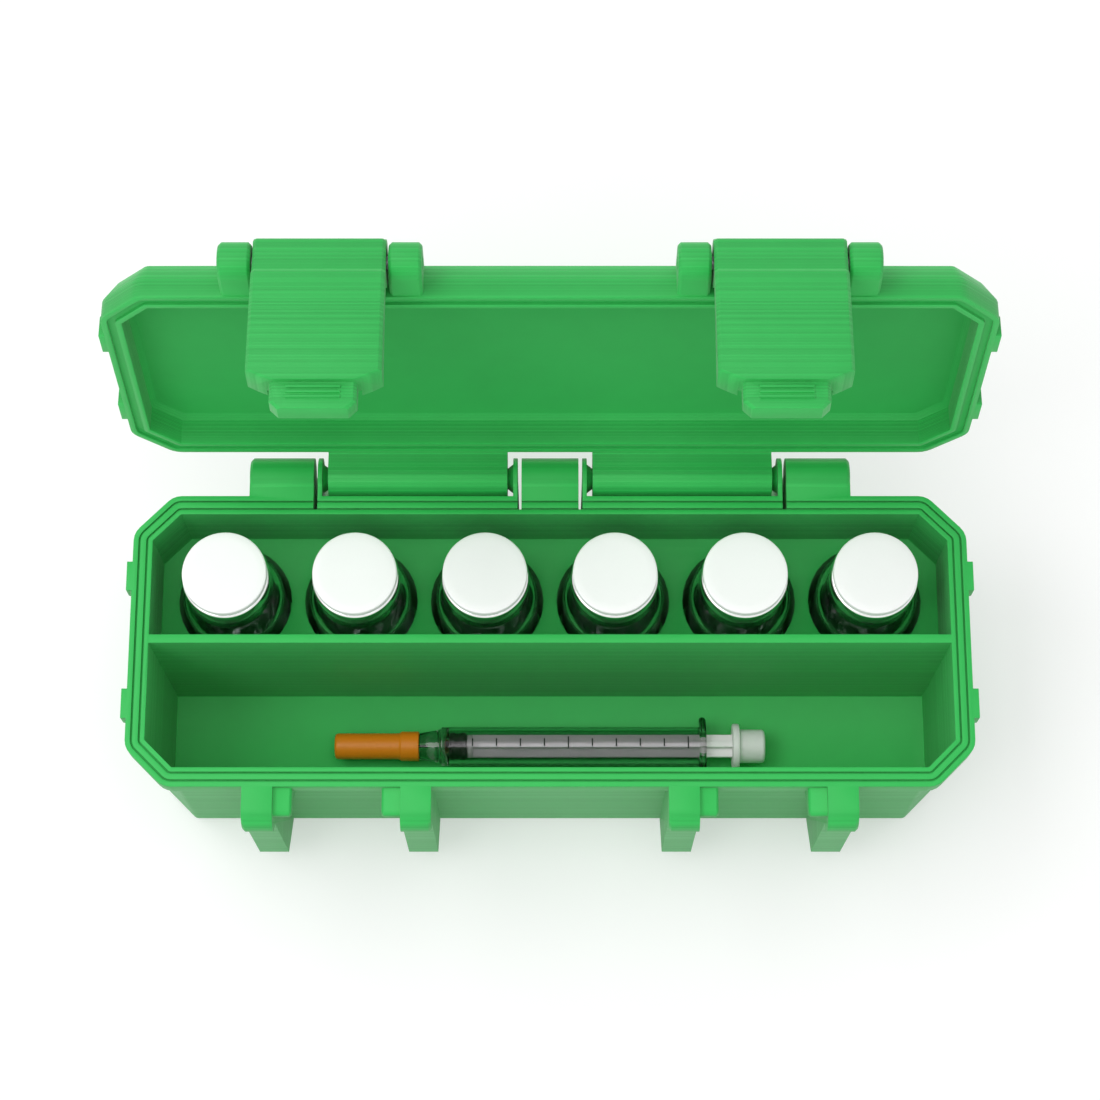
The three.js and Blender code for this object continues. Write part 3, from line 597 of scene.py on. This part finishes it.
# one printed stroke, a thin arc on top of the barrel
def graduationMark(x, reach):
    deselectAll()
    radius = (syringe["barrelRadius"] + marks["lift"]) * mm
    bpy.ops.mesh.primitive_circle_add(
        vertices=marks["segments"], radius=radius, rotation=(0, math.pi / 2, 0), location=(0, 0, 0))
    mark = bpy.context.object
    mark.name = mark.data.name = "graduationMark"
    applyPlace(mark)
    limit = math.radians(reach + marks["margin"])
    editChosen(mark, lambda vertex: abs(math.atan2(vertex.co.y, vertex.co.z)) > limit)
    bpy.ops.mesh.delete(type="VERT")
    bpy.ops.mesh.select_all(action="SELECT")
    bpy.ops.mesh.extrude_region_move(TRANSFORM_OT_translate={"value": (marks["width"] * mm, 0, 0)})
    bpy.ops.object.mode_set(mode="OBJECT")
    ink = mark.modifiers.new("ink", "SOLIDIFY")
    ink.thickness = marks["ink"] * mm
    bpy.ops.object.modifier_apply(modifier=ink.name)
    mark.location = [(x - marks["width"] / 2) * mm, syringe["axisY"] * mm, syringe["axisZ"] * mm]
    applyPlace(mark)
    return mark


strokes = []
for i in range(marks["count"]):
    reach = marks["longReach"] if i in marks["long"] else marks["shortReach"]
    strokes.append(graduationMark(marks["first"] + i * marks["step"], reach))
deselectAll()
for stroke in strokes:
    stroke.select_set(True)
bpy.context.view_layer.objects.active = strokes[0]
bpy.ops.object.join()
scale = bpy.context.object
scale.name = scale.data.name = "graduationMarks"
pointOutwards(scale)
finishPiece(scale, markInk, "syringe", "black_rubber")
print("syringe lies in the tray")


pin = {"radius": 1.0, "half": 13.85, "x": 32.3, "y": 41.6193, "z": 85.6665, "chamfer": 0.15, "segments": 40}
for side, name, node in ((-1, "latchPinLeft", "latch_pin_left"), (1, "latchPinRight", "latch_pin_right")):
    half, r, chamfer = pin["half"], pin["radius"], pin["chamfer"]
    rings = [(r - chamfer, -half), (r, chamfer - half), (r, half - chamfer), (r - chamfer, half)]
    rod = turnRings(name, rings, pin["segments"])
    placeTurned(rod, (side * pin["x"], pin["y"], pin["z"]), alongX=True)
    smoothByAngle(rod, 30)
    finishPiece(rod, pinSteel, "lid", "steel", node)
print("latch pins in place")


# studio: pale floor, soft light from above, camera at the photo's angle
studio = {
    "floorColor": (0.62, 0.62, 0.62), "floorGlow": 0.39, "floorRoughness": 0.9,
    "floorSize": 6, "floorDrop": 0.00005,
    "worldLight": 0.78, "horizonLift": 0.8, "evenHeight": 0.5,
}
lamps = {
    "keyLight": {"place": (-0.44, 0.02, 0.87), "length": 1.0, "width": 0.35, "power": 3.8},
    "topLight": {"place": (0, -0.08, 0.92), "length": 0.41, "width": 0.38, "power": 1.2},
}


# 1 where the surface or the sky is looked at, directly, in a reflection or through a clear piece
def seenDirectly(tree):
    rays = tree.nodes.new("ShaderNodeLightPath")
    seen = addMath(tree, "MAXIMUM", rays.outputs["Is Camera Ray"], rays.outputs["Is Glossy Ray"])
    return addMath(tree, "MAXIMUM", seen, rays.outputs["Is Transmission Ray"])


# the floor glows a little where it is looked at, so that it shows white and keeps its shadow
deselectAll()
bpy.ops.mesh.primitive_plane_add(size=studio["floorSize"], location=(0, 0, -studio["floorDrop"]))
floor = bpy.context.object
floor.name = "studioFloor"
floorMaterial, floorTree, floorShader = newMaterial(
    "floorWhite", studio["floorColor"], studio["floorRoughness"])
glow = addMath(floorTree, "MULTIPLY", seenDirectly(floorTree), studio["floorGlow"])
floorShader.inputs["Emission Color"].default_value = (1, 1, 1, 1)
floorTree.links.new(glow, floorShader.inputs["Emission Strength"])
floor.data.materials.append(floorMaterial)

# the sky lights the case a little more than twice as strongly from the horizon as from straight above
# where it is looked at it is plain white
world = bpy.data.worlds.new("studioWorld")
bpy.context.scene.world = world
world.use_nodes = True
skyTree = world.node_tree
sky = skyTree.nodes["Background"]
sky.inputs["Color"].default_value = (1, 1, 1, 1)
direction = skyTree.nodes.new("ShaderNodeSeparateXYZ")
skyTree.links.new(skyTree.nodes.new("ShaderNodeTexCoord").outputs["Generated"], direction.inputs[0])
below = addMath(skyTree, "SUBTRACT", studio["evenHeight"], direction.outputs["Z"])
lift = addMath(skyTree, "MULTIPLY", below, studio["worldLight"] * studio["horizonLift"])
light = addMath(skyTree, "ADD", lift, studio["worldLight"])
share = addMath(skyTree, "MULTIPLY", seenDirectly(skyTree), addMath(skyTree, "SUBTRACT", 1, light))
skyTree.links.new(addMath(skyTree, "ADD", light, share), sky.inputs["Strength"])

for name, look in lamps.items():
    deselectAll()
    bpy.ops.object.light_add(type="AREA", location=look["place"])
    lamp = bpy.context.object
    lamp.name = name
    lamp.data.shape = "RECTANGLE"
    # turned towards the origin, the lamp's length lies along the world's Y
    lamp.data.size = look["length"]
    lamp.data.size_y = look["width"]
    lamp.data.energy = look["power"]
    lamp.rotation_euler = (-Vector(look["place"])).to_track_quat("-Z", "Y").to_euler()

view = {"place": (0, -0.108083, 0.445786), "down": 73.359, "lens": 90.231, "sensor": 36, "near": 0.01}
bpy.ops.object.camera_add(location=view["place"], rotation=(math.radians(90 - view["down"]), 0, 0))
camera = bpy.context.object
camera.data.lens = view["lens"]
camera.data.sensor_width = view["sensor"]
camera.data.clip_start = view["near"]
bpy.context.scene.camera = camera
bpy.context.scene.view_settings.view_transform = "Standard"
print("studio ready")
